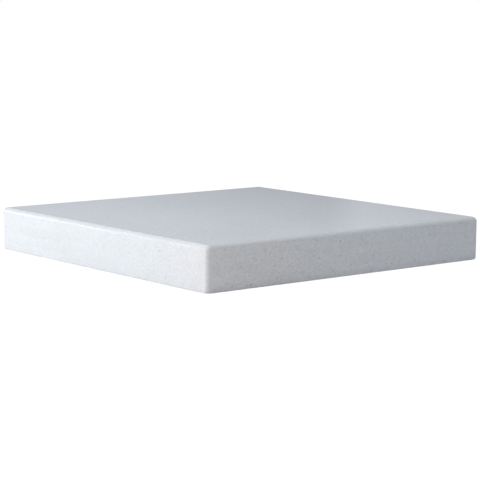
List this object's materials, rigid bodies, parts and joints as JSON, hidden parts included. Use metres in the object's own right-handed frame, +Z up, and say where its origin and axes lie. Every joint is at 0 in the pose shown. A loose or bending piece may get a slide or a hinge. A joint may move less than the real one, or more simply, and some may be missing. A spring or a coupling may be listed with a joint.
{
  "type": "granite slab",
  "caption": "Square solid stone slab with a flat polished working face, ground sides and eased edges, used as a firm anvil under leatherwork.",
  "frame": {"origin": "middle of the underside, on the surface that the slab lies on", "axes": "+Z up out of the polished working face, along the slab's thickness; +X and +Y along its two equal sides"},
  "size_m": [0.3048, 0.3048, 0.0381],
  "materials": {
    "pale_granite": "polished top face, fine ground sides"
  },
  "bodies": {
    "root": {"stone_slab": "pale_granite"}
  },
  "joints": []
}
